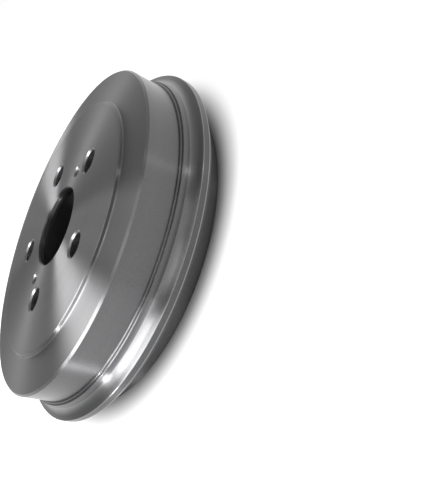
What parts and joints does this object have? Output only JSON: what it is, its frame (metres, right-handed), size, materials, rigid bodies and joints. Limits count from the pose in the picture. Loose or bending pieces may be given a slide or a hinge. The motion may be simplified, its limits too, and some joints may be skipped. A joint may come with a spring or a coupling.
{
  "type": "brake drum",
  "caption": "Cup-shaped cast brake drum with a flat wheel mounting face, centre bore, stud and jacking holes, and a stepped outer flange and lip.",
  "frame": {"origin": "centre of the open rim's plane, on the axle line", "axes": "+Z along the axle line, from the open rim to the wheel mounting face; +X towards one of the five stud holes"},
  "size_m": [0.241, 0.241, 0.0525],
  "materials": {
    "machined_iron": "turned grey iron, satin; as cast in the cove inside"
  },
  "bodies": {
    "root": {"brake_drum": "machined_iron"}
  },
  "joints": []
}
